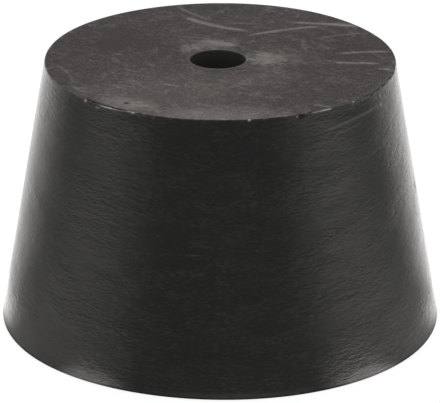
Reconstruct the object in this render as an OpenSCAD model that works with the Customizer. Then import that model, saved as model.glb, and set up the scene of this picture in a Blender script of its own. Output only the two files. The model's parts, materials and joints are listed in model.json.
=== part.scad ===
// One-hole rubber stopper, size 8, for the neck of a laboratory flask.
// It stands on its large end: z = 0 is the large face, and the bore runs along +Z.
// One moulding in solid rubber, so the whole stopper is one piece. Millimetres.

/* [Body] */
// Diameter of the large end, to the sharp corner that its rounded edge takes off
large_d = 41; // [34:0.5:60]
// Diameter of the small end, which goes into the neck first
small_d = 32.5; // [20:0.5:40]
// Height from face to face
length = 25.4; // [15:0.1:45]

/* [Bore] */
// Diameter of the hole that grips a glass tube or a thermometer
bore_d = 5.1; // [3:0.1:10]
// How far the bore stands off the centre along X, from the run-out of its moulding pin
bore_shift_x = -0.25; // [-1:0.05:1]
// How far the bore stands off the centre along Y
bore_shift_y = 0.2; // [-1:0.05:1]

/* [Edges] */
// Radius on the edge of the large end
large_edge_r = 0.45; // [0.1:0.05:2]
// Radius on the edge of the small end
small_edge_r = 0.15; // [0.1:0.05:2]
// Radius on both mouths of the bore
mouth_r = 0.15; // [0.1:0.05:1]

/* [Hidden] */
$fn = 180;
rubber_black = "#2d2c2a";

large_r = large_d / 2;
small_r = small_d / 2;
bore_r = bore_d / 2;

// Angle between the wall and the axis
half_taper = atan((large_r - small_r) / length);

// How far a cut runs out past the face it opens in
overrun = 1;

// Distance from a corner of the outline to where a radius r leaves its two sides
function tangent_run(r, corner_angle) = r / tan(corner_angle / 2);

large_run = tangent_run(large_edge_r, 90 - half_taper);
small_run = tangent_run(small_edge_r, 90 + half_taper);

// Right half of the section through the axis, with both outer edges rounded
module body_section() {
    polygon([
        [0, 0],
        [large_r - large_run, 0],
        [large_r - large_run * sin(half_taper), large_run * cos(half_taper)],
        [small_r + small_run * sin(half_taper), length - small_run * cos(half_taper)],
        [small_r - small_run, length],
        [0, length]
    ]);
    translate([large_r - large_run, large_edge_r]) circle(r = large_edge_r);
    translate([small_r - small_run, length - small_edge_r]) circle(r = small_edge_r);
}

// Cut that rounds a mouth of the bore in a face at z = 0, with the rubber below it
module mouth_cut() {
    rotate_extrude()
        difference() {
            translate([0, -mouth_r]) square([bore_r + mouth_r, mouth_r + overrun]);
            translate([bore_r + mouth_r, -mouth_r]) circle(r = mouth_r);
        }
}

// The bore with its two rounded mouths
module bore_cut() {
    translate([0, 0, -overrun]) cylinder(h = length + 2 * overrun, d = bore_d);
    translate([0, 0, length]) mouth_cut();
    mirror([0, 0, 1]) mouth_cut();
}

// The stopper: a tapered plug with a bore from face to face
module stopper() {
    color(rubber_black)
        difference() {
            rotate_extrude() body_section();
            translate([bore_shift_x, bore_shift_y, 0]) bore_cut();
        }
}

stopper();
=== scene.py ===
"""A one-hole rubber stopper, standing on its large end: the finished look of one moulding in black rubber.

The stopper is one closed surface of revolution. A half section is carried round the axis, and small reliefs
are added to it: out-of-round waviness, the torn flash of its trimmed rim, nicks and pits. Its wall is ground,
its small end is grey with chalky bloom, and the bore and the large end are as they left the mould.
"""

import json
import logging
import math
from dataclasses import dataclass, field
from enum import Enum

import bpy
import numpy as np
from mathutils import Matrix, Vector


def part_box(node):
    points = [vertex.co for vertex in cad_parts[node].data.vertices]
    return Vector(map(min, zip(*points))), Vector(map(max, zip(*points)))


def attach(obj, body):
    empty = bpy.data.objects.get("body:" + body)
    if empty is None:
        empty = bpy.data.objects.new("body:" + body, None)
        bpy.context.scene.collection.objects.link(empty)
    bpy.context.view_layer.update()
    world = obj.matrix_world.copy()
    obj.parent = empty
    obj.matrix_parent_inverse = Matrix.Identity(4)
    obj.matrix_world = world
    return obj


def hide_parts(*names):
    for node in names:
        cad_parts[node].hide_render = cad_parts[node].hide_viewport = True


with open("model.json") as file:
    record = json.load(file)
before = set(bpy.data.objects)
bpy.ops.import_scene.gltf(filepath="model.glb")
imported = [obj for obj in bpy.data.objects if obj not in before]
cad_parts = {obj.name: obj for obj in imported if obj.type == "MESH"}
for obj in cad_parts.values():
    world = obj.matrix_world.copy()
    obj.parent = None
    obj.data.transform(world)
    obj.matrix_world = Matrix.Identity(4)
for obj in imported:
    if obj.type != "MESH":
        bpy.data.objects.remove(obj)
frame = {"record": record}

Array = np.ndarray
Socket = bpy.types.NodeSocket
MM = 0.001
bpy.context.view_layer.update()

RIM_BAND = 2.4
"""Width of the finely divided band on either side of the small end's rim, in millimetres."""

MEAN_RADIUS = 18.4
"""Radius halfway up the wall in millimetres, at which the wall is unrolled to place marks on it."""

log = logging.getLogger("stopper")


class Zone(Enum):
    """The four finishes of the surface. The value is the material's place on the mesh."""

    WALL = 0
    SMALL_END = 1
    LARGE_END = 2
    BORE = 3


# --------------------------------------------------------------------------------------------------
# Shape
# --------------------------------------------------------------------------------------------------


@dataclass(frozen=True)
class StopperSizes:
    """The sizes of the stopper in millimetres, with the height and the bore taken from the frame."""

    height: float
    bore_r: float
    bore_x: float
    bore_y: float
    large_r: float = 20.5
    small_r: float = 16.20
    large_edge: float = 0.45
    small_edge: float = 0.15
    mouth: float = 0.15

    @classmethod
    def from_frame(cls, record: dict) -> "StopperSizes":
        """Reads the height and the bore.

        Args:
            record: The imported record, whose mount "bore" gives the hole's radius and place.

        Returns:
            The sizes.
        """
        low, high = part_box("stopper")
        bore = next(mount for mount in record["mounts"] if mount["name"] == "bore")
        return cls(
            height=(high[2] - low[2]) / MM,
            bore_r=bore["dims"]["r_mm"],
            bore_x=bore["pos_m"][0] / MM,
            bore_y=bore["pos_m"][1] / MM,
        )

    @property
    def taper(self) -> float:
        """Angle between the wall and the axis, in radians."""
        return math.atan2(self.large_r - self.small_r, self.height)


@dataclass
class Section:
    """The closed half section, as points in order round it.

    Attributes:
        radius: Distance of each point from its ring's own centre.
        height: Height of each point.
        off_axis: Share of the bore's offset that the ring's centre takes: 1 at the bore, 0 on the wall.
        below_rim: Distance along the section from the small end's corner, positive down the wall.
        zone: Zone of the strip of faces that follows each point.
    """

    radius: Array
    height: Array
    off_axis: Array
    below_rim: Array
    zone: Array


def spaced(start: float, end: float, count: int, crowd_start: float = 1.0, crowd_end: float = 1.0) -> Array:
    """Points from start up to but not including end, crowded towards either end.

    The share t of the way becomes t ** crowd_start on the first half and its mirror image with crowd_end on
    the second, so a value over 1 draws points towards that end.

    Args:
        start: First value.
        end: Value after the last.
        count: Number of points.
        crowd_start: Crowding at the start.
        crowd_end: Crowding at the end.

    Returns:
        The points.
    """
    t = np.arange(count) / count
    first = 0.5 * (2 * np.minimum(t, 0.5)) ** crowd_start
    second = 0.5 * (2 * np.minimum(1 - t, 0.5)) ** crowd_end
    share = np.where(t < 0.5, first, 1 - second)
    return start + (end - start) * share


def half_section(sizes: StopperSizes) -> Section:
    """Builds the section from straight runs joined by arcs.

    Each arc has its centre at the edge radius from both of its sides, so it meets them smoothly. Points are
    crowded towards the rim of the small end, where the nicks and the flash are. The bloom of the small end
    reaches only a little way into the bore's mouth, so that arc is in two.

    Args:
        sizes: The stopper's sizes.

    Returns:
        The section, from the large end's bore mouth outwards, up the wall, over the small end and down.
    """
    taper = sizes.taper
    large_run = sizes.large_edge / math.tan((math.pi / 2 - taper) / 2)
    small_run = sizes.small_edge / math.tan((math.pi / 2 + taper) / 2)
    top = sizes.height
    runs: list[tuple[Array, Array, Array, Zone]] = []

    def straight(start: tuple, end: tuple, rows: int, crowd: tuple, off_axis: tuple, zone: Zone) -> None:
        """Adds a straight run from start up to end."""
        share = spaced(0.0, 1.0, rows, *crowd)
        places = np.outer(1 - share, start) + np.outer(share, end)
        runs.append((places[:, 0], places[:, 1], off_axis[0] + (off_axis[1] - off_axis[0]) * share, zone))

    def arc(centre: tuple, radius: float, turn: tuple, rows: int, off_axis: float, zone: Zone) -> None:
        """Adds an arc about centre, from the first angle of turn up to the second."""
        angle = turn[0] + (turn[1] - turn[0]) * np.arange(rows) / rows
        runs.append((centre[0] + radius * np.cos(angle), centre[1] + radius * np.sin(angle),
                     np.full(rows, off_axis), zone))

    large_centre = (sizes.large_r - large_run, sizes.large_edge)
    small_centre = (sizes.small_r - small_run, top - sizes.small_edge)
    low_wall = (sizes.large_r - large_run * math.sin(taper), large_run * math.cos(taper))
    high_wall = (sizes.small_r + small_run * math.sin(taper), top - small_run * math.cos(taper))
    mouth_r = sizes.bore_r + sizes.mouth
    quarter = math.pi / 2
    band_r = small_centre[0] - RIM_BAND
    band_low = (high_wall[0] + RIM_BAND * math.sin(taper), high_wall[1] - RIM_BAND * math.cos(taper))
    band_share = RIM_BAND / (small_centre[0] - mouth_r)
    straight((mouth_r, 0), (large_centre[0], 0), 10, (1.4, 1.6), (1, 0), Zone.LARGE_END)
    arc(large_centre, sizes.large_edge, (-quarter, taper), 9, 0, Zone.WALL)
    straight(low_wall, band_low, 42, (1.5, 1.3), (0, 0), Zone.WALL)
    straight(band_low, high_wall, 34, (1.0, 1.3), (0, 0), Zone.WALL)
    arc(small_centre, sizes.small_edge, (taper, 1.0), 6, 0, Zone.WALL)
    arc(small_centre, sizes.small_edge, (1.0, quarter), 3, 0, Zone.SMALL_END)
    straight((small_centre[0], top), (band_r, top), 30, (1.3, 1.0), (0, band_share), Zone.SMALL_END)
    straight((band_r, top), (mouth_r, top), 22, (1.3, 1.4), (band_share, 1), Zone.SMALL_END)
    arc((mouth_r, top - sizes.mouth), sizes.mouth, (quarter, 1.3 * quarter), 2, 1, Zone.SMALL_END)
    arc((mouth_r, top - sizes.mouth), sizes.mouth, (1.3 * quarter, 2 * quarter), 4, 1, Zone.BORE)
    straight((sizes.bore_r, top - sizes.mouth), (sizes.bore_r, sizes.mouth), 12, (1.6, 1.6), (1, 1),
             Zone.BORE)
    arc((mouth_r, sizes.mouth), sizes.mouth, (2 * quarter, 3 * quarter), 5, 1, Zone.LARGE_END)

    radius, height, off_axis = (np.concatenate([run[k] for run in runs]) for k in range(3))
    zone = np.concatenate([np.full(len(run[0]), run[3].value) for run in runs])
    step = np.hypot(np.diff(radius, append=radius[0]), np.diff(height, append=height[0]))
    travelled = np.concatenate([[0], np.cumsum(step)[:-1]])
    corner = sum(len(run[0]) for run in runs[:5])
    return Section(radius, height, off_axis, travelled[corner] - travelled, zone)


@dataclass
class Places:
    """Where every vertex of the stopper lies, as arrays of rings by vertices round the ring.

    Attributes:
        turn: Angle round the axis in radians: 0 at the front, positive to the right.
        x, y, z: Place before any relief.
        below_rim: Distance along the section from the small end's corner.
        on_wall: 1 on the wall, 0 elsewhere.
        on_end: 1 on the small end's face, 0 elsewhere.
    """

    turn: Array
    x: Array
    y: Array
    z: Array
    below_rim: Array
    on_wall: Array
    on_end: Array


def bell(distance: Array, reach: float) -> Array:
    """A smooth bump, exp(-(d / reach) ** 2): 1 at no distance, 0.37 at the reach, nearly 0 at twice it."""
    return np.exp(-((distance / reach) ** 2))


def between(value: Array, low: float, high: float, soft: float) -> Array:
    """1 between low and high, with smooth shoulders of width soft inside both."""
    rise = np.clip((value - low) / soft, 0, 1)
    fall = np.clip((high - value) / soft, 0, 1)
    share = np.minimum(rise, fall)
    return share * share * (3 - 2 * share)


def ring_noise(turn: Array, waves: int, seed: int) -> Array:
    """Smooth noise round the axis that closes on itself.

    It is a sum of cosines of 1 to waves cycles a turn, each with a random phase and a random size, scaled to
    lie mostly between -1 and 1.

    Args:
        turn: Angles in radians.
        waves: Highest number of cycles in a turn.
        seed: Seed of the phases and sizes.

    Returns:
        The noise at each angle.
    """
    rng = np.random.default_rng(seed)
    phases = rng.uniform(0, 2 * np.pi, waves)
    sizes = rng.normal(0, 1, waves)
    total = np.zeros_like(turn)
    for cycles, (phase, size) in enumerate(zip(phases, sizes), start=1):
        total += size * np.cos(cycles * turn + phase)
    return total / (1.6 * math.sqrt(waves / 2))


@dataclass(frozen=True)
class Relief:
    """One departure from the true form. Lengths are in millimetres and angles in degrees.

    A relief pushes the surface out along its normal by height, or in where the height is negative. One that
    is upward lifts it straight up instead. It may also mark the surface paler, as torn rubber and as a
    painted glint on it, or darker, as dark rubber and as painted shade in a hollow.
    """

    height: float = 0.0
    upward: bool = False
    raw_and_glint: float = 0.0
    gap: float = 0.0

    def share(self, at: Places) -> Array:
        """How much of the relief each vertex gets, from -1 to 1."""
        raise NotImplementedError


@dataclass(frozen=True)
class OutOfRound(Relief):
    """A moulding's slow waviness on the wall, a few cycles a turn, that changes down the wall."""

    seed: int = 1

    def share(self, at: Places) -> Array:
        """Noise round the axis, mixed from one pattern at the top to another at the foot."""
        low = np.clip(at.below_rim / 25.0, 0, 1)
        wave = (1 - low) * ring_noise(at.turn, 5, self.seed) + low * ring_noise(at.turn, 4, self.seed + 1)
        return wave * at.on_wall


@dataclass(frozen=True)
class Lean(Relief):
    """The wall's lean: it stands out to the right and in by as much on the left.

    Attributes:
        foot, top: How far at the bottom of the wall and at its top, as shares of the relief's height.
        tall: Height of the wall.
    """

    foot: float = 1.0
    top: float = 0.0
    tall: float = 25.4

    def share(self, at: Places) -> Array:
        """The sine of the angle round the axis times a share that runs from foot to top."""
        return np.sin(at.turn) * (self.foot + (self.top - self.foot) * at.z / self.tall) * at.on_wall


@dataclass(frozen=True)
class UnevenEnd(Relief):
    """The small end's face, not quite flat: it rises and falls a little towards the rim."""

    seed: int = 1
    reach: float = 16.25

    def share(self, at: Places) -> Array:
        """Noise round the axis that grows with the square of the distance from it."""
        out = np.clip(np.hypot(at.x, at.y) / self.reach, 0, 1) ** 2
        return ring_noise(at.turn, 4, self.seed) * out * at.on_end


@dataclass(frozen=True)
class RimBand(Relief):
    """A band along the rim, such as a thread of flash or the slit behind it, between two angles."""

    start: float = 0.0
    end: float = 10.0
    below: float = 0.2
    width: float = 0.1
    ragged: float = 0.4
    seed: int = 1

    def share(self, at: Places) -> Array:
        """A bell across the band, whose place and strength wander along it."""
        along = between(np.degrees(at.turn), self.start, self.end, 0.15 * (self.end - self.start))
        wander = ring_noise(at.turn, 150, self.seed)
        across = at.below_rim - self.below - 0.5 * self.width * ring_noise(at.turn, 60, self.seed + 1)
        return bell(across, self.width) * along * np.clip(1 + self.ragged * wander, 0, 2)


@dataclass(frozen=True)
class RimNick(Relief):
    """A bite out of the rim, a crumb on it or a swell below it, at one angle."""

    turn: float = 0.0
    width: float = 0.5
    below: float = 0.0
    depth: float = 0.4
    rim_r: float = 16.25

    def share(self, at: Places) -> Array:
        """A bell along the rim times a bell across it."""
        along = (at.turn - math.radians(self.turn)) * self.rim_r
        return bell(along, self.width) * bell(at.below_rim - self.below, self.depth)


@dataclass(frozen=True)
class CrumbledRim(Relief):
    """A stretch of rim that has crumbled: many small bumps and hollows side by side."""

    start: float = 0.0
    end: float = 10.0
    below: float = 0.0
    depth: float = 0.7
    seed: int = 1

    def share(self, at: Places) -> Array:
        """Noise along the rim that shifts with the distance across it, within the stretch."""
        along = between(np.degrees(at.turn), self.start, self.end, 0.2 * (self.end - self.start))
        grain = ring_noise(at.turn + 0.04 * at.below_rim, 260, self.seed)
        coarse = ring_noise(at.turn, 200, self.seed + 1)
        mixed = grain * np.cos(9 * at.below_rim) + coarse * np.sin(6 * at.below_rim)
        return mixed * along * bell(at.below_rim - self.below, self.depth)


@dataclass(frozen=True)
class Pit(Relief):
    """A round pit or bump on the small end or on the wall."""

    x: float = 0.0
    y: float = 0.0
    z: float = 25.0
    reach: float = 0.3

    def share(self, at: Places) -> Array:
        """A bell of the distance from the pit's centre."""
        away = np.sqrt((at.x - self.x) ** 2 + (at.y - self.y) ** 2 + (at.z - self.z) ** 2)
        return bell(away, self.reach)


def on_wall(sizes: StopperSizes, turn: float, height: float) -> dict[str, float]:
    """The place on the wall at an angle in degrees and a height, as the x, y and z of a Pit."""
    radius = sizes.large_r + (sizes.small_r - sizes.large_r) * height / sizes.height
    angle = math.radians(turn)
    return {"x": radius * math.sin(angle), "y": -radius * math.cos(angle), "z": height}


RIM_THREAD = RimBand(height=0.006, raw_and_glint=0.03, start=-150.0, end=150.0, below=0.02, width=0.10, ragged=1.2,
                     seed=35)
"""The thin raised edge that trimming left nearly all round the rim."""

LEFT_FLASH = (
    RimNick(height=0.05, raw_and_glint=0.8, turn=-48.2, width=0.12, below=0.15, depth=0.11),
    RimBand(height=-0.09, gap=1.0, start=-48.6, end=-42.6, below=-0.06, width=0.085, ragged=0.4, seed=22),
    RimBand(height=-0.08, gap=1.0, start=-45.0, end=-29.5, below=-0.03, width=0.065, ragged=0.4, seed=23),
    RimBand(height=0.03, raw_and_glint=0.40, start=-42.3, end=-32.8, below=0.11, width=0.042, ragged=0.5, seed=24),
    RimBand(height=0.03, raw_and_glint=0.85, start=-40.9, end=-36.4, below=0.11, width=0.050, ragged=0.4, seed=25),
    RimBand(height=0.03, raw_and_glint=0.38, start=-33.9, end=-28.0, below=0.05, width=0.040, ragged=0.6, seed=26),
    RimNick(height=0.04, raw_and_glint=0.9, turn=-28.7, width=0.13, below=0.06, depth=0.07),
    RimNick(height=0.02, raw_and_glint=0.45, turn=-42.7, width=0.20, below=0.36, depth=0.06),
    CrumbledRim(height=0.04, raw_and_glint=0.12, gap=0.5, start=-29.0, end=-20.0, below=0.05, depth=0.20, seed=27),
)
# A thread of flash on the front left of the rim, torn in two, with a slit behind it. The thread is pale
# partly by a painted glint, and the slit dark partly by painted shade.
"""A thread of flash on the front left of the rim, torn in two, with a slit behind it."""

RIGHT_FLASH = (
    RimNick(height=-0.20, gap=1.0, turn=26.2, width=0.20, below=0.06, depth=0.20),
    RimNick(height=0.05, raw_and_glint=0.40, turn=24.9, width=0.10, below=0.17, depth=0.08),
    RimBand(height=-0.06, gap=0.9, start=26.8, end=30.8, below=-0.06, width=0.06, ragged=1.3, seed=31),
    RimBand(height=0.04, raw_and_glint=0.60, start=30.0, end=38.4, below=0.08, width=0.036, ragged=0.4, seed=32),
    RimBand(height=0.02, raw_and_glint=0.7, start=34.2, end=38.2, below=0.08, width=0.045, ragged=0.3, seed=33),
    RimNick(height=-0.05, gap=0.3, turn=-12.0, width=0.5, below=0.0, depth=0.2),
    RimNick(height=0.06, raw_and_glint=0.9, turn=9.1, width=0.11, below=0.10, depth=0.09),
)
# A notch on the front right of the rim, and a thread of flash beside it. The notch is dark partly by painted
# shade, and the thread pale partly by a painted glint.
"""A notch on the front right of the rim, and a thread of flash beside it."""

CRUMBLED_CORNER = (
    RimNick(height=-0.07, gap=0.25, turn=50.5, width=3.0, below=0.75, depth=0.55),
    RimNick(height=0.05, raw_and_glint=0.85, turn=47.9, width=0.14, below=0.08, depth=0.10),
    CrumbledRim(height=0.04, raw_and_glint=0.30, gap=0.6, start=46.0, end=62.0, below=0.10, depth=0.30, seed=41),
    CrumbledRim(height=0.008, raw_and_glint=0.15, gap=0.3, start=55.0, end=80.0, below=0.60, depth=0.75, seed=43),
    CrumbledRim(height=0.02, raw_and_glint=0.30, gap=1.0, start=44.0, end=90.0, below=-0.15, depth=0.28, seed=44),
    RimNick(height=-0.08, gap=0.9, turn=55.5, width=0.9, below=0.05, depth=0.17),
    RimBand(height=-0.05, gap=0.8, start=57.0, end=84.0, below=0.06, width=0.08, ragged=0.9, seed=45),
    RimNick(height=0.03, raw_and_glint=0.6, turn=62.8, width=0.13, below=0.84, depth=0.11),
    RimNick(height=0.03, raw_and_glint=0.6, turn=62.6, width=0.13, below=1.58, depth=0.11),
)
# The right of the rim: worn to a facet, crumbled, and dark where rubber has come away. Its hollows are
# darkened with painted shade as well, and its pale crumbs are partly painted glints.
"""The right of the rim: worn to a facet, crumbled, and dark where rubber has come away."""


@dataclass
class Stopper:
    """The stopper: its section, the reliefs on it, and the mesh that they make."""

    sizes: StopperSizes
    around: int = 550
    reliefs: list[Relief] = field(default_factory=list)

    def __post_init__(self) -> None:
        """Lists the reliefs, from the slow waviness of the moulding to single pits."""
        self.reliefs = [
            OutOfRound(height=0.025, seed=11),
            Lean(height=0.07, foot=1.0, top=-0.9),
            UnevenEnd(height=0.02, seed=5),
            *self.swells(),
            RIM_THREAD,
            *LEFT_FLASH,
            *RIGHT_FLASH,
            *CRUMBLED_CORNER,
            # A pit in the small end, darkened with painted shade.
            Pit(height=-0.14, gap=1.0, x=-8.43, y=-11.70, z=self.sizes.height, reach=0.20),
            Pit(height=-0.12, reach=0.5, **on_wall(self.sizes, 84.4, 13.9)),
        ]

    def swells(self) -> list[Relief]:
        """Low swells: the front and back right of the small end, and the right of the wall by its foot."""
        return [
            Pit(height=0.12, upward=True, x=0.0, y=-17.0, z=self.sizes.height, reach=11.0),
            Pit(height=0.11, upward=True, x=10.0, y=13.0, z=self.sizes.height, reach=7.0),
            RimNick(height=0.03, turn=62.0, width=9.0, below=25.8, depth=5.0),
        ]

    def rings(self) -> tuple[Section, Places]:
        """Carries the section round the axis.

        A point at angle t of a ring with radius r is at (c + r sin t, d - r cos t), where (c, d) is the
        ring's centre: the bore's axis at the bore, the stopper's on the wall, and between them on the ends.
        The angles are pi (0.55 s + 0.45 s ** 3) for s from -1 to 1, so they lie closest at the front.

        Returns:
            The section, and the place of each vertex in rings by vertices round the ring.
        """
        section = half_section(self.sizes)
        share = np.linspace(-1, 1, self.around, endpoint=False)
        turn = (np.pi * (0.55 * share + 0.45 * share**3))[None, :]
        ring_x = (section.off_axis * self.sizes.bore_x)[:, None]
        ring_y = (section.off_axis * self.sizes.bore_y)[:, None]
        x = ring_x + section.radius[:, None] * np.sin(turn)
        y = ring_y - section.radius[:, None] * np.cos(turn)
        full = np.ones_like(x)
        near_rim = np.clip(1.5 - np.abs(section.below_rim), 0, 1)
        wall = np.where(section.zone == Zone.WALL.value, 1.0, near_rim)
        end = np.where(section.zone == Zone.SMALL_END.value, 1.0, near_rim)
        height, below_rim = section.height[:, None] * full, section.below_rim[:, None] * full
        return section, Places(turn * full, x, y, height, below_rim, wall[:, None] * full,
                               end[:, None] * full)

    def normals(self, at: Places) -> Array:
        """Outward normals of the true form: the cross products of its steps round and along the section."""
        place = np.stack([at.x, at.y, at.z], axis=-1)
        round_step = np.roll(place, -1, axis=1) - np.roll(place, 1, axis=1)
        section_step = np.roll(place, -1, axis=0) - np.roll(place, 1, axis=0)
        normal = np.cross(round_step, section_step)
        return normal / np.linalg.norm(normal, axis=-1, keepdims=True)

    def build(self) -> bpy.types.Object:
        """Makes the mesh: a grid that closes on itself both ways, with the marks of wear as attributes, which
        also carry painted glints and painted shade in hollows.

        Returns:
            The object, at the origin, with its place in its vertices.
        """
        section, at = self.rings()
        push = np.zeros_like(at.x)
        lift = np.zeros_like(at.x)
        raw_and_glint = np.zeros_like(at.x)
        gap = np.zeros_like(at.x)
        for relief in self.reliefs:
            share = relief.share(at)
            if relief.upward:
                lift += relief.height * share
            else:
                push += relief.height * share
            raw_and_glint = np.maximum(raw_and_glint, relief.raw_and_glint * share)
            gap = np.maximum(gap, relief.gap * share)
        place = np.stack([at.x, at.y, at.z], axis=-1) + self.normals(at) * push[..., None]
        place[..., 2] = np.maximum(place[..., 2] + lift, 0.0)

        rows, columns = at.x.shape
        corner = np.arange(rows * columns).reshape(rows, columns)
        up, right = np.roll(corner, -1, axis=0), np.roll(corner, -1, axis=1)
        both = np.roll(up, -1, axis=1)
        quads = np.stack([corner, right, both, up], axis=-1).reshape(-1, 4)
        mesh = bpy.data.meshes.new("stopper_rubber")
        mesh.vertices.add(rows * columns)
        mesh.vertices.foreach_set("co", (place * MM).astype(np.float32).ravel())
        mesh.loops.add(quads.size)
        mesh.loops.foreach_set("vertex_index", quads.astype(np.int32).ravel())
        mesh.polygons.add(len(quads))
        mesh.polygons.foreach_set("loop_start", np.arange(0, quads.size, 4, dtype=np.int32))
        mesh.polygons.foreach_set("material_index", np.repeat(section.zone, columns).astype(np.int32))
        mesh.polygons.foreach_set("use_smooth", np.ones(len(quads), dtype=bool))
        mesh.update(calc_edges=True)
        # Pale marks: torn rubber and painted glints. Dark marks: dark rubber and painted shade in hollows.
        for name, values in (("raw_edge_and_glint", raw_and_glint), ("gap", gap)):
            marks = mesh.attributes.new(name, "FLOAT", "POINT")
            marks.data.foreach_set("value", np.clip(values, 0, 1).astype(np.float32).ravel())
        mesh.validate()
        piece = bpy.data.objects.new("stopper_rubber", mesh)
        bpy.context.scene.collection.objects.link(piece)
        log.info("%s: %d rings of %d vertices, %d triangles", piece.name, rows, columns, 2 * len(quads))
        return piece


# --------------------------------------------------------------------------------------------------
# Node tools
# --------------------------------------------------------------------------------------------------

Feed = Socket | float | tuple | str


class Graph:
    """Adds nodes to one node tree, so that a finish reads like its formula."""

    def __init__(self, tree: bpy.types.NodeTree) -> None:
        """Keeps the tree."""
        self.tree = tree

    def feed(self, socket: Socket, value: Feed) -> None:
        """Links a socket to value, or sets its own value where value is a number, a vector or a colour."""
        if isinstance(value, bpy.types.NodeSocket):
            self.tree.links.new(value, socket)
        else:
            socket.default_value = value

    def node(self, kind: str, inputs: dict[str | int, Feed] | None = None,
             **settings: object) -> bpy.types.Node:
        """Adds a node.

        Args:
            kind: The node's type, without the ShaderNode in front.
            inputs: What each input gets, by name or by number.
            settings: The node's own properties.

        Returns:
            The node.
        """
        made = self.tree.nodes.new("ShaderNode" + kind)
        for name, value in settings.items():
            setattr(made, name, value)
        for name, value in (inputs or {}).items():
            self.feed(made.inputs[name], value)
        return made

    def math(self, operation: str, *values: Feed, clamp: bool = False) -> Socket:
        """A math node's result."""
        return self.node("Math", dict(enumerate(values)), operation=operation, use_clamp=clamp).outputs[0]

    def vector(self, operation: str, *values: Feed) -> Socket:
        """A vector math node's result: a number for a dot product, a length or a distance, else a vector."""
        made = self.node("VectorMath", dict(enumerate(values)), operation=operation)
        return made.outputs["Value" if operation in ("DOT_PRODUCT", "LENGTH", "DISTANCE") else "Vector"]

    def scale(self, place: Feed, factor: Feed) -> Socket:
        """A vector times a number."""
        return self.node("VectorMath", {"Vector": place, "Scale": factor},
                         operation="SCALE").outputs["Vector"]

    def turned(self, place: Feed, angle: Feed) -> Socket:
        """A vector turned about Z by an angle in radians."""
        return self.node("VectorRotate", {"Vector": place, "Axis": (0, 0, 1), "Angle": angle}).outputs[0]

    def smooth(self, value: Feed, low: Feed, high: Feed, start: Feed = 0.0, end: Feed = 1.0) -> Socket:
        """Takes value from start at low to end at high, in a smooth step."""
        inputs = {"Value": value, "From Min": low, "From Max": high, "To Min": start, "To Max": end}
        return self.node("MapRange", inputs, interpolation_type="SMOOTHSTEP").outputs["Result"]

    def noise(self, place: Feed, scale: Feed, detail: float = 2.0, roughness: float = 0.5) -> Socket:
        """Noise of about 0 to 1, with a mean of a half."""
        inputs = {"Vector": place, "Scale": scale, "Detail": detail, "Roughness": roughness}
        return self.node("TexNoise", inputs).outputs[0]

    def blend(self, share: Feed, first: Feed, second: Feed) -> Socket:
        """A mix of two colours, first at a share of 0 and second at 1."""
        made = self.node("Mix", data_type="RGBA", clamp_factor=True)
        self.feed(made.inputs[0], share)
        self.feed(made.inputs[6], first)
        self.feed(made.inputs[7], second)
        return made.outputs[2]

    def use(self, tree: bpy.types.NodeTree, **inputs: Feed) -> bpy.types.Node:
        """Adds a node group. An input's name is given with _ for each space."""
        made = self.tree.nodes.new("ShaderNodeGroup")
        made.node_tree = tree
        for name, value in inputs.items():
            self.feed(made.inputs[name.replace("_", " ")], value)
        return made


class GroupMaker(Graph):
    """A node group in the making: a Graph with named inputs and outputs."""

    KINDS = {"number": "NodeSocketFloat", "vector": "NodeSocketVector"}

    def __init__(self, name: str, inputs: dict[str, tuple[str, Feed]], outputs: dict[str, str]) -> None:
        """Makes the group's sockets.

        Args:
            name: The group's name.
            inputs: For each input, its kind and its value when nothing is linked.
            outputs: For each output, its kind.
        """
        super().__init__(bpy.data.node_groups.new(name, "ShaderNodeTree"))
        for label, (kind, value) in inputs.items():
            socket = self.tree.interface.new_socket(label, in_out="INPUT", socket_type=self.KINDS[kind])
            socket.default_value = value
        for label, kind in outputs.items():
            self.tree.interface.new_socket(label, in_out="OUTPUT", socket_type=self.KINDS[kind])
        self.given = self.tree.nodes.new("NodeGroupInput").outputs
        self.result = self.tree.nodes.new("NodeGroupOutput").inputs

    def finish(self, **outputs: Feed) -> bpy.types.NodeTree:
        """Feeds the group's outputs, named with _ for each space, and returns the group."""
        for name, value in outputs.items():
            self.feed(self.result[name.replace("_", " ")], value)
        return self.tree


# --------------------------------------------------------------------------------------------------
# Shared effects
# --------------------------------------------------------------------------------------------------


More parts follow.
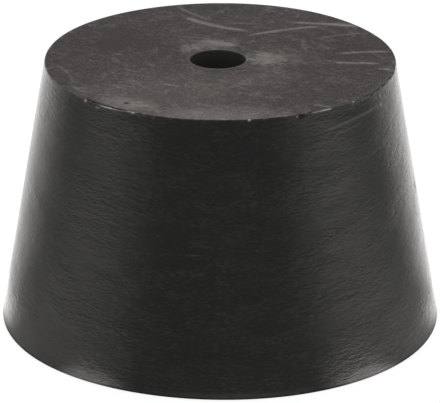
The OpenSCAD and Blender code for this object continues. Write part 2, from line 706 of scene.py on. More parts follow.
class Effects:
    """The node groups that the finishes are made of, each built once. Places in them are in millimetres."""

    def __init__(self) -> None:
        """Builds the groups."""
        self.bloom = self._bloom()
        self.ground_grain = self._ground_grain()
        self.stroke = self._stroke()
        self.soft_patch = self._soft_patch()
        self.specks = self._specks()
        self.hairs = self._hairs()
        self.wall_sheet = self._wall_sheet()

    @staticmethod
    def _bloom() -> bpy.types.NodeTree:
        """Chalky bloom: how much of the rubber it covers, in clouds, wiped streaks, mottling and grain."""
        layers = ("Clouds", "Wiped", "Mottle", "Grain")
        given = {"Place": ("vector", (0, 0, 0)), "Cover": ("number", 0.4)}
        given.update((layer, ("number", 0.2)) for layer in layers)
        g = GroupMaker("bloom", given, {"Cover": "number"})
        place = g.given["Place"]
        wiped = g.vector("MULTIPLY", g.turned(place, 0.45), (0.35, 2.0, 1.0))
        cover = g.given["Cover"]
        noises = (g.noise(place, 0.16, 2.0, 0.5), g.noise(wiped, 1.0, 3.0, 0.6),
                  g.noise(place, 0.9, 3.0, 0.85), g.noise(place, 4.5, 1.5, 0.7))
        for layer, noise in zip(layers, noises):
            cover = g.math("MULTIPLY_ADD", g.math("SUBTRACT", noise, 0.5), g.given[layer], cover)
        return g.finish(Cover=g.math("MAXIMUM", cover, 0.0))

    @staticmethod
    def _ground_grain() -> bpy.types.NodeTree:
        """Grinding marks that run round the axis: fine streaks, short torn grain, broad waves and scratches.

        The height is (Fine times the streaks + Torn times the grain) times patches that are ground more or
        less deep, + Broad times the waves. A scratch is a thin contour line of a long noise, and breaks off
        here and there.
        """
        g = GroupMaker("ground_grain", {"Place": ("vector", (0, 0, 0)), "Length": ("number", 2.0),
                                        "Pitch": ("number", 0.2), "Fine": ("number", 0.2),
                                        "Torn": ("number", 0.3), "Broad": ("number", 0.5)},
                       {"Height": "number", "Scratches": "number"})

        def marks(length: Feed, pitch: Feed, detail: float, rough: float) -> Socket:
            """Noise as long as length in X and Y and as fine as pitch in Z."""
            run, rise = g.math("DIVIDE", 1.0, length), g.math("DIVIDE", 1.0, pitch)
            sheet = g.node("CombineXYZ", {0: run, 1: run, 2: rise}).outputs[0]
            return g.noise(g.vector("MULTIPLY", g.given["Place"], sheet), 1.0, detail, rough)

        streaks = marks(g.given["Length"], g.given["Pitch"], 2.0, 0.6)
        grain = marks(0.85, 0.24, 3.0, 0.68)
        patches = g.smooth(marks(7.0, 4.5, 1.0, 0.5), 0.38, 0.60, 0.55, 1.35)
        waves = marks(5.0, 1.7, 1.0, 0.5)
        height = g.math("MULTIPLY", streaks, g.given["Fine"])
        height = g.math("MULTIPLY_ADD", grain, g.given["Torn"], height)
        height = g.math("MULTIPLY", height, patches)
        height = g.math("MULTIPLY_ADD", waves, g.given["Broad"], height)
        off_line = g.math("ABSOLUTE", g.math("SUBTRACT", marks(5.0, 0.9, 2.0, 0.6), 0.5))
        shown = g.smooth(marks(1.7, 1.1, 2.0, 0.6), 0.50, 0.62)
        return g.finish(Height=height, Scratches=g.math("MULTIPLY", g.smooth(off_line, 0.022, 0.0), shown))

    @staticmethod
    def _stroke() -> bpy.types.NodeTree:
        """One scratch or scrape from Start to End, bowed sideways, with soft ragged ends."""
        g = GroupMaker("stroke", {"Place": ("vector", (0, 0, 0)), "Start": ("vector", (0, 0, 0)),
                                  "End": ("vector", (1, 0, 0)), "Bow": ("number", 0.0), "Width": ("number",
                                                                                                  0.2),
                                  "Ragged": ("number", 0.5)}, {"Mask": "number"})
        line = g.vector("SUBTRACT", g.given["End"], g.given["Start"])
        length = g.vector("LENGTH", line)
        way = g.vector("NORMALIZE", line)
        side = g.vector("CROSS_PRODUCT", (0, 0, 1), way)
        away = g.vector("SUBTRACT", g.given["Place"], g.given["Start"])
        along = g.math("DIVIDE", g.vector("DOT_PRODUCT", away, way), length)
        left = g.math("SUBTRACT", 1.0, along)
        bow = g.math("MULTIPLY", g.math("MULTIPLY", along, left), g.math("MULTIPLY", g.given["Bow"], 4.0))
        across = g.math("ABSOLUTE", g.math("SUBTRACT", g.vector("DOT_PRODUCT", away, side), bow))
        rough = g.math("SUBTRACT", g.noise(g.given["Place"], 2.2, 2.0, 0.6), 0.5)
        width = g.math("ADD", 1.0, g.math("MULTIPLY", rough, g.given["Ragged"]))
        width = g.math("MULTIPLY", g.given["Width"], width)
        body = g.smooth(across, width, 0.0)
        ends = g.math("MULTIPLY", g.smooth(along, 0.0, 0.2), g.smooth(left, 0.0, 0.2))
        worn = g.math("SUBTRACT", g.noise(g.given["Place"], 4.0, 2.0, 0.6), 0.5)
        thinned = g.math("MULTIPLY", worn, g.math("MULTIPLY", g.given["Ragged"], 3.0))
        whole = g.math("ADD", 1.0, thinned, clamp=True)
        return g.finish(Mask=g.math("MULTIPLY", g.math("MULTIPLY", body, ends), whole))

    @staticmethod
    def _soft_patch() -> bpy.types.NodeTree:
        """One soft oval patch, mottled inside."""
        g = GroupMaker("soft_patch", {"Place": ("vector", (0, 0, 0)), "Centre": ("vector", (0, 0, 0)),
                                  "Reach": ("vector", (1, 1, 1)), "Turn": ("number", 0.0),
                                  "Mottle": ("number", 1.0)}, {"Mask": "number"})
        away = g.vector("SUBTRACT", g.given["Place"], g.given["Centre"])
        turned = g.turned(away, g.given["Turn"])
        out = g.vector("LENGTH", g.vector("DIVIDE", turned, g.given["Reach"]))
        clouds = g.math("SUBTRACT", g.noise(g.given["Place"], 1.1, 4.0, 0.65), 0.5)
        out = g.math("ADD", out, g.math("MULTIPLY", clouds, g.given["Mottle"]))
        return g.finish(Mask=g.smooth(out, 1.0, 0.1))

    @staticmethod
    def _specks() -> bpy.types.NodeTree:
        """Scattered specks: round spots about the middles of random cells, only some of which have one."""
        g = GroupMaker("specks", {"Place": ("vector", (0, 0, 0)), "Spacing": ("number", 2.0),
                                  "Size": ("number", 0.12), "Share": ("number", 0.3)}, {"Mask": "number"})
        scale = g.math("DIVIDE", 1.0, g.given["Spacing"])
        cells = g.node("TexVoronoi", {"Vector": g.given["Place"], "Scale": scale})
        away = g.math("MULTIPLY", cells.outputs["Distance"], g.given["Spacing"])
        pick = g.node("SeparateColor", {0: cells.outputs["Color"]}).outputs[0]
        size = g.math("MULTIPLY", g.given["Size"], g.math("ADD", 0.4, pick))
        spot = g.smooth(away, size, g.math("MULTIPLY", size, 0.4))
        has_one = g.math("LESS_THAN", pick, g.given["Share"])
        return g.finish(Mask=g.math("MULTIPLY", spot, has_one))

    @staticmethod
    def _hairs() -> bpy.types.NodeTree:
        """Short hairlines that run one way: contour lines of a long noise, shown where another is high."""
        g = GroupMaker("hairs", {"Place": ("vector", (0, 0, 0)), "Turn": ("number", 0.0),
                                 "Width": ("number", 0.05)}, {"Mask": "number"})
        turned = g.turned(g.given["Place"], g.given["Turn"])
        noise = g.noise(g.vector("MULTIPLY", turned, (0.22, 1.0, 1.0)), 1.0, 2.0, 0.5)
        line = g.smooth(g.math("ABSOLUTE", g.math("SUBTRACT", noise, 0.5)), g.given["Width"], 0.0)
        patches = g.noise(g.vector("MULTIPLY", turned, (0.7, 1.3, 1.0)), 1.0, 2.0, 0.6)
        return g.finish(Mask=g.math("MULTIPLY", line, g.smooth(patches, 0.50, 0.68)))

    @staticmethod
    def _wall_sheet() -> bpy.types.NodeTree:
        """The wall unrolled: X is the distance round it from the front at the mean radius, Y the height."""
        g = GroupMaker("wall_sheet", {"Place": ("vector", (0, 0, 0))}, {"Sheet": "vector"})
        split = g.node("SeparateXYZ", {0: g.given["Place"]}).outputs
        turn = g.math("ARCTAN2", split[0], g.math("MULTIPLY", split[1], -1.0))
        around = g.math("MULTIPLY", turn, MEAN_RADIUS)
        return g.finish(Sheet=g.node("CombineXYZ", {0: around, 1: split[2], 2: 0.0}).outputs[0])


@dataclass(frozen=True)
class Stroke:
    """One scratch: its ends in millimetres, its bow, its half width and how strongly it shows."""

    start: tuple[float, float]
    end: tuple[float, float]
    bow: float = 0.0
    width: float = 0.15
    strength: float = 0.3
    ragged: float = 0.5


@dataclass(frozen=True)
class SoftPatch:
    """One soft patch: its centre and reach in millimetres, its turn in degrees and its strength."""

    centre: tuple[float, float]
    reach: tuple[float, float]
    turn: float = 0.0
    strength: float = 0.2
    mottle: float = 1.0


# --------------------------------------------------------------------------------------------------
# Finishes
# --------------------------------------------------------------------------------------------------

Colour = tuple[float, float, float, float]
BLACK_RUBBER: Colour = (0.0166, 0.0166, 0.0160, 1.0)
BROWN_BLOOM: Colour = (0.184, 0.158, 0.150, 1.0)
GREY_BLOOM: Colour = (0.178, 0.168, 0.162, 1.0)
BROWNED_RUBBER: Colour = (0.0235, 0.0170, 0.0152, 1.0)
# Darker than the rubber: dark rubber and painted shade in slits, notches and pits.
HOLLOW_SHADE_BLACK: Colour = (0.006, 0.006, 0.006, 1.0)
# Pale of torn flash, partly its own colour and partly a painted glint on the flash.
TORN_PALE_AND_GLINT: Colour = (0.620, 0.600, 0.570, 1.0)


ACROSS_THE_MARKS = 0.25
"""A quarter of a turn, which spreads the wall's reflections up and down, across its grinding marks."""


def add_marks(g: Graph, effects: Effects, sheet: Socket, cover: Socket, soft_patches: tuple[SoftPatch, ...],
              strokes: tuple[Stroke, ...]) -> Socket:
    """Adds soft patches and strokes to the cover of bloom. On the wall some of the patches are painted
    highlights.

    Args:
        g: The finish's graph.
        effects: The shared node groups.
        sheet: The place on the flat sheet that the soft patches and strokes are drawn on.
        cover: The cover before them.
        soft_patches: Soft patches.
        strokes: Scratches and scrapes.

    Returns:
        The cover with them.
    """
    for soft_patch in soft_patches:
        mask = g.use(effects.soft_patch, Place=sheet, Centre=(*soft_patch.centre, 0), Reach=(*soft_patch.reach, 1),
                     Turn=math.radians(soft_patch.turn), Mottle=soft_patch.mottle).outputs["Mask"]
        cover = g.math("MULTIPLY_ADD", mask, soft_patch.strength, cover)
    for stroke in strokes:
        mask = g.use(effects.stroke, Place=sheet, Start=(*stroke.start, 0), End=(*stroke.end, 0),
                     Bow=stroke.bow, Width=stroke.width, Ragged=stroke.ragged).outputs["Mask"]
        cover = g.math("MULTIPLY_ADD", mask, stroke.strength, cover)
    return cover


def wall_spot(turn: float, height: float) -> tuple[float, float]:
    """The place on the unrolled wall at an angle in degrees and a height in millimetres."""
    return math.radians(turn) * MEAN_RADIUS, height


@dataclass(frozen=True)
class RubberFinish:
    """What every finish of the stopper shares: black rubber under some bloom, with a bumped surface.

    Attributes:
        name: The material's name.
        roughness: Roughness of the bare rubber.
        gloss: Strength of its reflections, as the shader's level of specular light.
        bloom: Share of the surface under bloom.
        clouds, wiped, mottle, grain: How much the bloom varies, from broad to fine.
        bare: Colour of the rubber without bloom.
        thin_bloom: Colour of the bloom where there is little of it. Where it is thick it is grey.
        bump: Height of the surface's texture in millimetres.
        bloom_rough, hollow_rough: How much rougher the surface is under bloom and in the texture's hollows.
        anisotropy: How much the grinding marks stretch its reflections up and down.
    """

    name: str
    roughness: float = 0.5
    gloss: float = 0.5
    bloom: float = 0.0
    clouds: float = 0.0
    wiped: float = 0.0
    mottle: float = 0.0
    grain: float = 0.0
    bump: float = 0.01
    bloom_rough: float = 0.35
    hollow_rough: float = 0.12
    anisotropy: float = 0.0
    bare: Colour = BLACK_RUBBER
    thin_bloom: Colour = GREY_BLOOM

    def place(self, g: Graph) -> Socket:
        """Object coordinates in millimetres."""
        return g.scale(g.node("TexCoord").outputs["Object"], 1 / MM)

    def cover(self, g: Graph, effects: Effects, place: Socket) -> Socket:
        """The share of the surface under bloom, which a finish may add to."""
        group = g.use(effects.bloom, Place=place, Cover=self.bloom, Clouds=self.clouds, Wiped=self.wiped,
                      Mottle=self.mottle, Grain=self.grain)
        return group.outputs["Cover"]

    def relief(self, g: Graph, effects: Effects, place: Socket) -> Socket:
        """The height of the surface's fine texture, from 0 to about 1."""
        return g.noise(place, 4.0, 4.0, 0.6)

    def rough(self, g: Graph, cover: Socket, relief: Socket) -> Socket:
        """Roughness: rougher under bloom, and a little more in the hollows of the texture."""
        under_bloom = g.math("MULTIPLY_ADD", cover, self.bloom_rough, self.roughness)
        off_middle = g.math("SUBTRACT", 0.5, relief)
        return g.math("MULTIPLY_ADD", off_middle, self.hollow_rough, under_bloom, clamp=True)

    def build(self, effects: Effects) -> bpy.types.Material:
        """Builds the material.

        Args:
            effects: The shared node groups.

        Returns:
            The material.
        """
        material = bpy.data.materials.new(self.name)
        material.use_nodes = True
        g = Graph(material.node_tree)
        shader = g.tree.nodes["Principled BSDF"]
        place = self.place(g)
        relief = self.relief(g, effects, place)
        cover = self.cover(g, effects, place)
        # Pale marks are torn rubber and painted glints; dark marks are dark rubber and painted shade in
        # hollows, bare of bloom.
        raw_and_glint = g.node("Attribute", attribute_name="raw_edge_and_glint").outputs["Fac"]
        gap = g.node("Attribute", attribute_name="gap").outputs["Fac"]
        cover = g.math("MULTIPLY", cover, g.math("SUBTRACT", 1.0, gap), clamp=True)
        colour = g.blend(cover, self.bare, g.blend(cover, self.thin_bloom, GREY_BLOOM))
        colour = g.blend(raw_and_glint, colour, TORN_PALE_AND_GLINT)
        g.feed(shader.inputs["Base Color"], g.blend(gap, colour, HOLLOW_SHADE_BLACK))
        g.feed(shader.inputs["Roughness"], g.math("MAXIMUM", self.rough(g, cover, relief), gap))
        shader.inputs["Specular IOR Level"].default_value = self.gloss
        shader.inputs["Anisotropic"].default_value = self.anisotropy
        if self.anisotropy:
            shader.inputs["Anisotropic Rotation"].default_value = ACROSS_THE_MARKS
            tangent = g.node("Tangent", direction_type="RADIAL", axis="Z")
            g.feed(shader.inputs["Tangent"], tangent.outputs[0])
        bump = g.node("Bump", {"Height": relief, "Distance": self.bump * MM, "Strength": 1.0})
        g.feed(shader.inputs["Normal"], bump.outputs[0])
        return material


@dataclass(frozen=True)
class GroundWall(RubberFinish):
    """The wall: ground to its taper, so that fine marks run round it, with a few long pale scratches.

    Attributes:
        mark_length, mark_pitch: How long and how fine the streaks are, in millimetres.
        fine, torn, broad: Depth of the streaks, the torn grain and the waves, as shares of the bump.
        scratches, streaks: How much bloom lies in the hair scratches, and how much paler the ridges are than
            the hollows, by bloom on them and by painted light and shade of the marks.
        drawn_out: How the grinding stretches the bloom: under 1 is longer, over 1 finer, along X, Y and Z.
        specks: Strength of the scattered pale specks.
        strokes, soft_patches: Single scratches, and soft patches such as painted highlights, on the unrolled
            wall.
    """

    mark_length: float = 1.3
    mark_pitch: float = 0.38
    fine: float = 0.17
    torn: float = 0.22
    broad: float = 0.30
    scratches: float = 0.04
    streaks: float = 0.14
    drawn_out: tuple[float, float, float] = (0.5, 0.5, 1.2)
    specks: float = 0.25
    strokes: tuple[Stroke, ...] = ()
    soft_patches: tuple[SoftPatch, ...] = ()

    def marks(self, g: Graph, effects: Effects, place: Socket) -> bpy.types.NodeOutputs:
        """The grinding marks."""
        return g.use(effects.ground_grain, Place=place, Length=self.mark_length, Pitch=self.mark_pitch,
                     Fine=self.fine, Torn=self.torn, Broad=self.broad).outputs

    def relief(self, g: Graph, effects: Effects, place: Socket) -> Socket:
        """The height of the grinding marks."""
        return self.marks(g, effects, place)["Height"]

    def cover(self, g: Graph, effects: Effects, place: Socket) -> Socket:
        """Thin bloom, with hair scratches, specks, longer scratches, soft patches and paler ridges, the last
        two partly painted light.
        """
        cover = super().cover(g, effects, g.vector("MULTIPLY", place, self.drawn_out))
        sheet = g.use(effects.wall_sheet, Place=place).outputs["Sheet"]
        marks = self.marks(g, effects, place)
        cover = g.math("MULTIPLY_ADD", marks["Scratches"], self.scratches, cover)
        # The ridges of the grinding marks paler and the hollows darker: bloom on the ridges, and painted
        # light and shade across the marks.
        middle = 0.5 * (self.fine + self.torn + self.broad)
        cover = g.math("MULTIPLY_ADD", g.math("SUBTRACT", marks["Height"], middle), self.streaks, cover)
        specks = g.use(effects.specks, Place=place, Spacing=4.0, Size=0.10, Share=0.35).outputs["Mask"]
        cover = g.math("MULTIPLY_ADD", specks, self.specks, cover)
        return add_marks(g, effects, sheet, cover, self.soft_patches, self.strokes)


@dataclass(frozen=True)
class BloomedEnd(RubberFinish):
    """The small end: grey with bloom that handling has rubbed thin in places and scuffed in others.

    Attributes:
        strokes, soft_patches: Single scratches and rubbed patches, placed in X and Y.
        mouth, mouth_r: Centre and radius of the bore's mouth in millimetres.
        mouth_band, mouth_highlight: Width and strength of the pale ring round the mouth, a painted highlight
            on its rounded lip.
        hairlines: For each way that hairlines run, its angle in radians and their strength.
        dust: For each size of speck, the spacing, the size and the strength.
    """

    strokes: tuple[Stroke, ...] = ()
    soft_patches: tuple[SoftPatch, ...] = ()
    mouth: tuple[float, float] = (0.0, 0.0)
    mouth_r: float = 2.6
    mouth_band: float = 0.35
    mouth_highlight: float = 0.36
    hairlines: tuple[tuple[float, float], ...] = ((0.60, 0.34), (-0.62, 0.22), (1.25, 0.26))
    dust: tuple[tuple[float, float, float], ...] = ((0.55, 0.12, 0.40), (2.3, 0.16, 0.50))

    def cover(self, g: Graph, effects: Effects, place: Socket) -> Socket:
        """Bloom with its soft patches, scuffs, hairlines and specks, and a painted highlight round the bore's
        mouth.
        """
        cover = super().cover(g, effects, place)
        sheet = g.vector("MULTIPLY", place, (1, 1, 0))
        # A pale ring round the bore's mouth: a painted highlight where the rounded lip catches the light.
        out = g.vector("LENGTH", g.vector("SUBTRACT", sheet, (*self.mouth, 0)))
        ring = g.smooth(out, self.mouth_r + self.mouth_band, self.mouth_r)
        cover = g.math("MULTIPLY_ADD", ring, self.mouth_highlight, cover)
        cover = add_marks(g, effects, sheet, cover, self.soft_patches, self.strokes)
        for turn, strength in self.hairlines:
            hairs = g.use(effects.hairs, Place=place, Turn=turn, Width=0.07).outputs["Mask"]
            cover = g.math("MULTIPLY_ADD", hairs, strength, cover)
        for spacing, size, strength in self.dust:
            specks = g.use(effects.specks, Place=place, Spacing=spacing, Size=size, Share=0.4).outputs["Mask"]
            cover = g.math("MULTIPLY_ADD", specks, strength, cover)
        return cover


WALL_STROKES = (
    Stroke(wall_spot(33.5, 23.5), wall_spot(62.5, 23.9), bow=0.1, width=0.20, strength=0.50),
    Stroke(wall_spot(36.0, 22.7), wall_spot(52.0, 23.2), bow=0.1, width=0.14, strength=0.22),
    Stroke(wall_spot(-47.5, 22.9), wall_spot(-27.5, 23.0), bow=-0.15, width=0.15, strength=0.22),
    Stroke(wall_spot(44.7, 15.8), wall_spot(54.4, 16.3), width=0.12, strength=0.08),
    Stroke(wall_spot(43.0, 6.7), wall_spot(47.0, 6.9), width=0.12, strength=0.10),
    Stroke(wall_spot(-47.8, 6.1), wall_spot(-40.2, 6.3), width=0.12, strength=0.10),
    Stroke(wall_spot(-10.4, 13.2), wall_spot(-4.6, 13.3), width=0.10, strength=0.17),
)

# Soft patches on the wall: two painted highlights low on either side of the front, where the wall by its foot
# catches light, and a paler band along the foot at the front.
WALL_FOOT_HIGHLIGHTS_AND_BAND = (
    SoftPatch(wall_spot(-38.5, 0.6), (3.0, 0.8), strength=0.52, mottle=0.9),
    SoftPatch(wall_spot(40.5, 0.7), (2.7, 0.8), strength=0.48, mottle=0.9),
    SoftPatch(wall_spot(5.0, 0.0), (14.0, 1.0), strength=0.40, mottle=0.2),
)

END_SMUDGES = (
    SoftPatch((-4.8, 10.6), (3.4, 2.4), turn=-15, strength=-0.10, mottle=0.5),
    SoftPatch((13.6, -2.8), (2.4, 3.8), strength=-0.10, mottle=0.5),
    SoftPatch((-4.0, -8.5), (11.5, 8.5), turn=-10, strength=0.24, mottle=0.6),
    SoftPatch((-9.5, 5.0), (6.5, 7.0), turn=-30, strength=-0.14, mottle=0.5),
    SoftPatch((-9.0, -11.6), (3.2, 2.4), turn=30, strength=0.20, mottle=0.8),
    SoftPatch((4.6, -3.2), (3.6, 2.4), turn=20, strength=0.18, mottle=1.2),
    SoftPatch((-2.8, 3.2), (1.5, 1.5), strength=0.22, mottle=1.2),
    SoftPatch((11.5, 9.8), (2.6, 1.0), turn=8, strength=0.22, mottle=0.8),
    SoftPatch((0.0, -15.8), (11.5, 4.8), strength=0.54, mottle=0.6),
    SoftPatch((-8.2, -12.0), (4.4, 2.3), turn=30, strength=0.46, mottle=0.8),
    SoftPatch((-0.8, 4.2), (3.8, 2.1), turn=-18, strength=0.52, mottle=1.8),
    SoftPatch((-3.4, 2.6), (0.8, 1.6), turn=-10, strength=0.30, mottle=1.2),
    SoftPatch((4.1, 0.2), (2.7, 2.5), strength=0.62, mottle=2.2),
    SoftPatch((5.0, 0.9), (4.4, 3.4), turn=25, strength=0.26, mottle=1.2),
    SoftPatch((3.0, -5.5), (7.5, 2.6), turn=-12, strength=0.14, mottle=1.2),
    SoftPatch((-4.8, 0.2), (1.0, 1.4), strength=0.14, mottle=1.4),
    SoftPatch((12.0, 10.0), (3.6, 1.2), turn=-12, strength=0.18, mottle=0.8),
    SoftPatch((-0.7, -3.1), (0.9, 0.5), strength=-0.16, mottle=0.8),
    SoftPatch((-0.8, -6.1), (1.3, 0.8), strength=-0.18, mottle=0.8),
    SoftPatch((-13.6, 1.5), (1.0, 0.7), strength=-0.16, mottle=0.8),
    SoftPatch((-12.0, -8.6), (3.0, 2.4), strength=0.12, mottle=0.8),
    SoftPatch((12.4, 2.6), (4.2, 5.0), strength=-0.10, mottle=0.8),
)

END_STROKES = (
    Stroke((-3.3, 5.5), (-1.5, 4.9), bow=0.1, width=0.26, strength=0.40, ragged=0.9),
    Stroke((-2.6, 3.6), (-1.9, 2.6), bow=0.1, width=0.40, strength=0.35, ragged=0.9),
    Stroke((0.4, 4.9), (2.3, 3.2), bow=0.1, width=0.24, strength=0.34, ragged=0.9),
    Stroke((3.1, 1.3), (5.0, 1.5), bow=0.2, width=0.30, strength=0.42, ragged=1.0),
    Stroke((3.6, -0.9), (5.6, -0.4), bow=-0.2, width=0.30, strength=0.38, ragged=1.0),
    Stroke((5.4, 0.7), (7.2, 1.6), bow=0.1, width=0.26, strength=0.26, ragged=1.0),
    Stroke((-1.9, 5.5), (1.6, 3.6), bow=0.1, width=0.60, strength=0.60, ragged=0.9),
    Stroke((-4.0, 6.4), (-0.4, 5.6), bow=0.2, width=0.35, strength=0.30, ragged=0.9),
    Stroke((-15.3, -1.2), (-13.5, -7.2), bow=0.55, width=0.30, strength=0.30),
    Stroke((-13.6, -7.0), (-11.8, -9.3), bow=-0.2, width=0.32, strength=0.35),
    Stroke((-9.3, -5.6), (-6.0, -8.4), bow=0.2, width=0.40, strength=0.20, ragged=0.9),
    Stroke((-10.6, -6.6), (-7.3, -7.6), bow=-0.1, width=0.35, strength=0.18, ragged=0.9),
    Stroke((-5.3, -6.6), (-3.6, -7.4), width=0.32, strength=0.60),
    Stroke((-8.1, -12.15), (-6.6, -12.7), width=0.28, strength=0.50),
    Stroke((8.2, -12.0), (10.0, -12.5), width=0.32, strength=0.65),
    Stroke((2.0, -9.6), (8.6, -10.6), bow=-0.2, width=0.25, strength=0.18),
    Stroke((-3.7, 12.3), (3.0, 7.9), bow=-0.55, width=0.62, strength=0.85),
    Stroke((-4.3, 15.4), (-0.8, 11.0), bow=-0.2, width=0.36, strength=0.55),
    Stroke((0.9, 15.2), (-0.6, 12.6), bow=0.1, width=0.34, strength=0.25, ragged=0.9),
    Stroke((4.8, 15.2), (3.4, 12.4), bow=0.1, width=0.36, strength=0.30, ragged=0.9),
    Stroke((0.6, 10.3), (4.0, 9.9), bow=0.1, width=0.36, strength=0.32, ragged=0.9),
    Stroke((7.5, 13.4), (7.0, 11.5), bow=0.1, width=0.34, strength=0.35, ragged=0.9),
    Stroke((9.6, 5.0), (11.2, 5.4), bow=0.1, width=0.34, strength=0.26, ragged=0.9),
    Stroke((2.3, 6.7), (9.8, 9.4), bow=0.25, width=0.46, strength=0.75),
    Stroke((6.1, 10.6), (13.2, 9.6), bow=-0.15, width=0.50, strength=0.80),
    Stroke((10.6, 1.8), (16.0, 2.5), bow=0.1, width=0.48, strength=0.85),
    Stroke((9.0, 4.6), (10.2, 2.8), bow=0.1, width=0.34, strength=0.40, ragged=0.9),
    Stroke((7.7, 6.4), (8.3, 1.8), bow=-0.3, width=0.40, strength=0.25, ragged=0.9),
    Stroke((10.1, -0.5), (15.0, -0.8), bow=-0.1, width=0.46, strength=0.75),
    Stroke((14.3, -2.2), (16.1, -2.6), width=0.36, strength=0.65),
    Stroke((9.0, 5.8), (13.6, 7.6), bow=0.2, width=0.36, strength=0.45),
)


# --------------------------------------------------------------------------------------------------
# Studio
# --------------------------------------------------------------------------------------------------


@dataclass(frozen=True)
class Softbox:
    """A soft lamp. It faces the stopper from an angle round it, 0 at the front and 90 on the right."""

    name: str
    turn: float
    elevation: float
    distance: float
    width: float
    height: float
    radiance: float

    def place(self, aim: tuple[float, float, float]) -> None:
        """Adds the lamp, whose power is its radiance times pi times its area."""
        lamp = bpy.data.lights.new(self.name, "AREA")
        lamp.shape = "RECTANGLE"
        lamp.size, lamp.size_y = self.width, self.height
        lamp.energy = self.radiance * math.pi * self.width * self.height
        holder = bpy.data.objects.new(self.name, lamp)
        turn, rise = math.radians(self.turn), math.radians(self.elevation)
        back = (math.sin(turn) * math.cos(rise), -math.cos(turn) * math.cos(rise), math.sin(rise))
        holder.location = [a + b * self.distance for a, b in zip(aim, back)]
        holder.rotation_euler = (math.pi / 2 - rise, 0, turn)
        holder.visible_camera = False
        bpy.context.scene.collection.objects.link(holder)


Span = tuple[float, float]


@dataclass(frozen=True)
class Pool:
    """One pool of light on the floor, as the stopper mirrors it.

    Angles are in degrees round the stopper from its front, alike on either side, and distances in millimetres
    from its axis. A span is where the light begins and where it is full.

    Attributes:
        strength: The light where it is full.
        rise: Span of angles over which it comes up.
        fall: Span of angles, far one first, beyond which it is gone again.
        reach: Span of distances, far one first. None is a pool that has no end.
        beyond: Share of it that is left beyond the reach.
        skew: How much further round it lies on the right, in degrees. On the left it is as much nearer.
        right_gain: How much stronger it is on the right, as a share. On the left it is as much weaker.
        right_only: Whether it lies on the right alone.
        hollow: A darker part of it. Its strength is the share of the light that it adds, so it is negative.
    """

    strength: float
    rise: Span
    fall: Span | None = None
    reach: Span | None = None
    beyond: float = 0.0
    skew: float = 0.0
    right_gain: float = 0.0
    right_only: bool = False
    hollow: "Pool | None" = None

    def light(self, g: Graph, turn: Socket, away: Socket, right: Socket) -> Socket:
        """The light at each place: the product of smooth steps over the spans.

        Args:
            g: The floor's material.
            turn: Angle of the place.
            away: Distance of the place.
            right: Sine of the angle, positive on the right and negative on the left.

        Returns:
            The light.
        """
        around = g.math("MULTIPLY_ADD", right, -self.skew, turn) if self.skew else turn
        light = g.smooth(around, *self.rise, 0.0, self.strength)
        if self.fall:
            light = g.math("MULTIPLY", light, g.smooth(around, *self.fall))
        if self.reach:
            light = g.math("MULTIPLY", light, g.smooth(away, *self.reach, self.beyond, 1.0))
        if self.right_gain:
            light = g.math("MULTIPLY", light, g.math("MULTIPLY_ADD", right, self.right_gain, 1.0))
        if self.right_only:
            light = g.math("MULTIPLY", light, g.math("MAXIMUM", right, 0.0))
        if self.hollow:
            light = g.math("MULTIPLY_ADD", light, self.hollow.light(g, turn, away, right), light)
        return light


SIDE_HOLLOW = Pool(-0.5, rise=(50.0, 62.0), reach=(38.0, 24.0))

FLOOR_POOLS = {
    "side": Pool(0.92, rise=(28.0, 62.0), fall=(107.0, 65.0), hollow=SIDE_HOLLOW),
    "spot": Pool(4.6, rise=(25.0, 38.0), fall=(54.0, 43.0), reach=(25.0, 22.0), skew=4.0),
    "front foot": Pool(0.12, rise=(44.0, 24.0), reach=(31.0, 23.5)),
    "side foot": Pool(2.1, rise=(78.0, 96.0), fall=(150.0, 118.0), reach=(27.0, 22.2), right_gain=-0.25),
    "ring": Pool(0.72, rise=(98.0, 116.0), reach=(50.0, 30.0)),
    "behind": Pool(1.75, rise=(91.0, 164.0), reach=(140.0, 90.0), beyond=0.80, skew=3.0),
    "right edge": Pool(0.42, rise=(104.0, 134.0), reach=(100.0, 50.0), right_only=True),
}
"""The pools of light on the floor: broad ones at the sides and behind, and small ones close to the foot."""


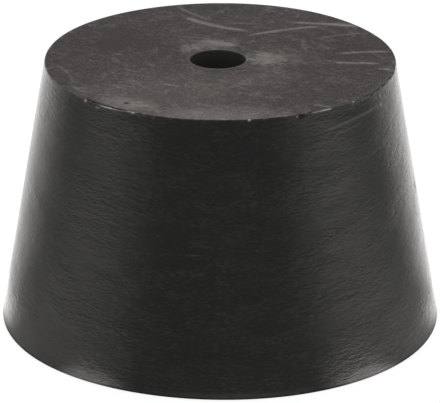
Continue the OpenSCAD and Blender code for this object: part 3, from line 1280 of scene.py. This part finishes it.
@dataclass(frozen=True)
class Studio:
    """A pale floor, one soft lamp overhead, a white surround that reflects dimly in front, and the camera.

    Attributes:
        aim: Where the camera looks, in metres.
        elevation, roll: How far the camera looks down and how far it leans, in degrees.
        distance: How far the camera stands from where it looks, in metres.
        lens: The camera's focal length in millimetres.
        floor_size, floor_drop: Side of the floor and its depth below the stopper, in metres.
        paint: How much light the floor's paint gives back.
        paint_lit: Share of white that the paint shows where nothing shades it, which its glow leaves out.
        sky: Light of the surround.
        sky_way, sky_span: In reflections it comes up along this way, back and a little up, over this span.
        front_glow: Light of the floor and the surround in reflections of the front, where no pool lies.
        right_gain: How much lighter the floor's reflection is on the right, as a share.
        shaded: Share of the floor's light that is left right under the large end's edge.
        shaded_span: Distances from the axis, in millimetres, over which that light comes up to full.
        glow_colour: Colour of the floor in reflections.
        pools: The pools of light on the floor.
        softboxes: The lamps.
    """

    aim: tuple[float, float, float] = (0.0, 0.0, 0.01136)
    elevation: float = 21.45
    distance: float = 0.4164
    lens: float = 364.76
    roll: float = 0.225
    floor_size: float = 3.0
    floor_drop: float = 1e-5
    paint: float = 0.12
    paint_lit: float = 0.63
    sky: float = 0.70
    sky_way: tuple[float, float, float] = (0.0, 1.0, 0.3)
    sky_span: Span = (-0.1, 0.8)
    front_glow: float = 0.155
    right_gain: float = 0.13
    shaded: float = 0.15
    shaded_span: Span = (20.6, 21.4)
    glow_colour: Colour = (1.0, 0.965, 0.945, 1.0)
    pools: tuple[Pool, ...] = tuple(FLOOR_POOLS.values())
    softboxes: tuple[Softbox, ...] = (
        Softbox("softbox_top", 180, 70, 0.7, 0.7, 0.7, 1.2),
    )

    def floor(self) -> None:
        """Adds the floor: white to the camera, lit in reflections, and a little darker where it is shaded."""
        half = self.floor_size / 2
        mesh = bpy.data.meshes.new("floor")
        corners = ((-half, -half), (half, -half), (half, half), (-half, half))
        mesh.from_pydata([(x, y, -self.floor_drop) for x, y in corners], [], [(0, 1, 2, 3)])
        floor = bpy.data.objects.new("floor", mesh)
        bpy.context.scene.collection.objects.link(floor)
        material = bpy.data.materials.new("floor_white")
        material.use_nodes = True
        g = Graph(material.node_tree)
        g.tree.nodes.clear()
        path = g.node("LightPath").outputs
        shade = g.blend(path["Is Glossy Ray"], (1, 1, 1, 1), self.glow_colour)
        glow = g.node("Emission", {"Color": shade, "Strength": self.floor_glow(g, path)})
        paint = g.node("BsdfDiffuse", {"Color": (self.paint, self.paint, self.paint, 1)})
        both = g.node("AddShader", {0: glow.outputs[0], 1: paint.outputs[0]})
        g.node("OutputMaterial", {"Surface": both.outputs[0]})
        mesh.materials.append(material)

    def floor_glow(self, g: Graph, path: bpy.types.NodeOutputs) -> Socket:
        """How bright the floor is: white to the camera, and in reflections lit in pools beside and behind.

        In reflections the light at a place is front_glow and all the pools there, a little more on the right,
        and fades close to the large end's edge.

        Args:
            g: The floor's material.
            path: The outputs of its light path node.

        Returns:
            The strength of the floor's emission.
        """
        place = g.scale(g.node("TexCoord").outputs["Object"], 1 / MM)
        split = g.node("SeparateXYZ", {0: place}).outputs
        toward = g.math("MULTIPLY", split[1], -1.0)
        turn = g.math("DEGREES", g.math("ABSOLUTE", g.math("ARCTAN2", split[0], toward)))
        away = g.vector("LENGTH", g.node("CombineXYZ", {0: split[0], 1: split[1]}).outputs[0])
        right = g.math("DIVIDE", split[0], g.math("MAXIMUM", away, 1.0))
        glow: Feed = self.front_glow
        for pool in self.pools:
            glow = g.math("ADD", pool.light(g, turn, away, right), glow)
        glow = g.math("MULTIPLY", glow, g.math("MULTIPLY_ADD", right, self.right_gain, 1.0))
        glow = g.math("MULTIPLY", glow, g.smooth(away, *self.shaded_span, self.shaded, 1.0))
        plain = g.math("ADD", path["Is Camera Ray"], path["Is Transmission Ray"], clamp=True)
        glow = g.math("MULTIPLY", glow, path["Is Glossy Ray"])
        return g.math("MULTIPLY_ADD", plain, 1.0 - self.paint_lit * self.paint, glow)

    def surround(self) -> None:
        """Lights the world: white to the camera, pale elsewhere, but dim where its front is mirrored."""
        world = bpy.data.worlds.new("surround")
        world.use_nodes = True
        bpy.context.scene.world = world
        g = Graph(world.node_tree)
        background = g.tree.nodes["Background"]
        path = g.node("LightPath").outputs
        away = g.vector("DOT_PRODUCT", g.node("TexCoord").outputs["Generated"], self.sky_way)
        mirrored = g.smooth(away, *self.sky_span, self.front_glow - self.sky, 0.0)
        level = g.math("MULTIPLY_ADD", mirrored, path["Is Glossy Ray"], self.sky)
        g.feed(background.inputs["Strength"], g.math("MAXIMUM", level, path["Is Camera Ray"]))
        background.inputs["Color"].default_value = (1, 1, 1, 1)

    def camera(self) -> None:
        """Adds the camera in front of the stopper, looking down at it."""
        lens = bpy.data.cameras.new("camera")
        lens.lens = self.lens
        lens.sensor_width = 36.0
        holder = bpy.data.objects.new("camera", lens)
        rise = math.radians(self.elevation)
        holder.location = (self.aim[0], self.aim[1] - self.distance * math.cos(rise),
                           self.aim[2] + self.distance * math.sin(rise))
        holder.rotation_mode = "ZYX"
        holder.rotation_euler = (math.pi / 2 - rise, 0, math.radians(self.roll))
        lens.clip_start, lens.clip_end = 0.01, 10.0
        bpy.context.scene.collection.objects.link(holder)
        bpy.context.scene.camera = holder

    def build(self) -> None:
        """Builds the floor, the surround, the lamps and the camera."""
        self.floor()
        self.surround()
        for softbox in self.softboxes:
            softbox.place(self.aim)
        self.camera()
        bpy.context.scene.view_settings.view_transform = "Standard"
        log.info("studio: %d lamps", len(self.softboxes))


def main() -> None:
    """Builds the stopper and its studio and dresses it."""
    logging.basicConfig(level=logging.INFO, format="%(name)s: %(message)s")
    sizes = StopperSizes.from_frame(frame["record"])
    stopper = Stopper(sizes).build()
    effects = Effects()
    finishes = {
        Zone.WALL: GroundWall(
            "ground_wall", roughness=0.27, gloss=0.5, bloom=0.01, clouds=0.08, mottle=0.34, grain=0.40,
            bump=0.23, anisotropy=0.6, soft_patches=WALL_FOOT_HIGHLIGHTS_AND_BAND, strokes=WALL_STROKES,
        ),
        Zone.SMALL_END: BloomedEnd(
            "bloomed_end", roughness=0.65, gloss=0.25, bloom=0.085, clouds=0.35, wiped=0.30, mottle=0.55,
            grain=1.3, bump=0.03, bare=BROWNED_RUBBER, thin_bloom=BROWN_BLOOM, soft_patches=END_SMUDGES,
            strokes=END_STROKES, mouth=(sizes.bore_x, sizes.bore_y),
        ),
        Zone.LARGE_END: RubberFinish(
            "moulded_end", roughness=0.5, bloom=0.08, clouds=0.15, mottle=0.2, grain=0.1, bump=0.02,
        ),
        Zone.BORE: RubberFinish("bore_wall", roughness=0.6, gloss=0.3, bloom=0.12, mottle=0.08, bump=0.02),
    }
    for zone in Zone:
        stopper.data.materials.append(finishes[zone].build(effects))
    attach(stopper, "root")
    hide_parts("stopper")
    Studio().build()


if __name__ == "__main__":
    main()
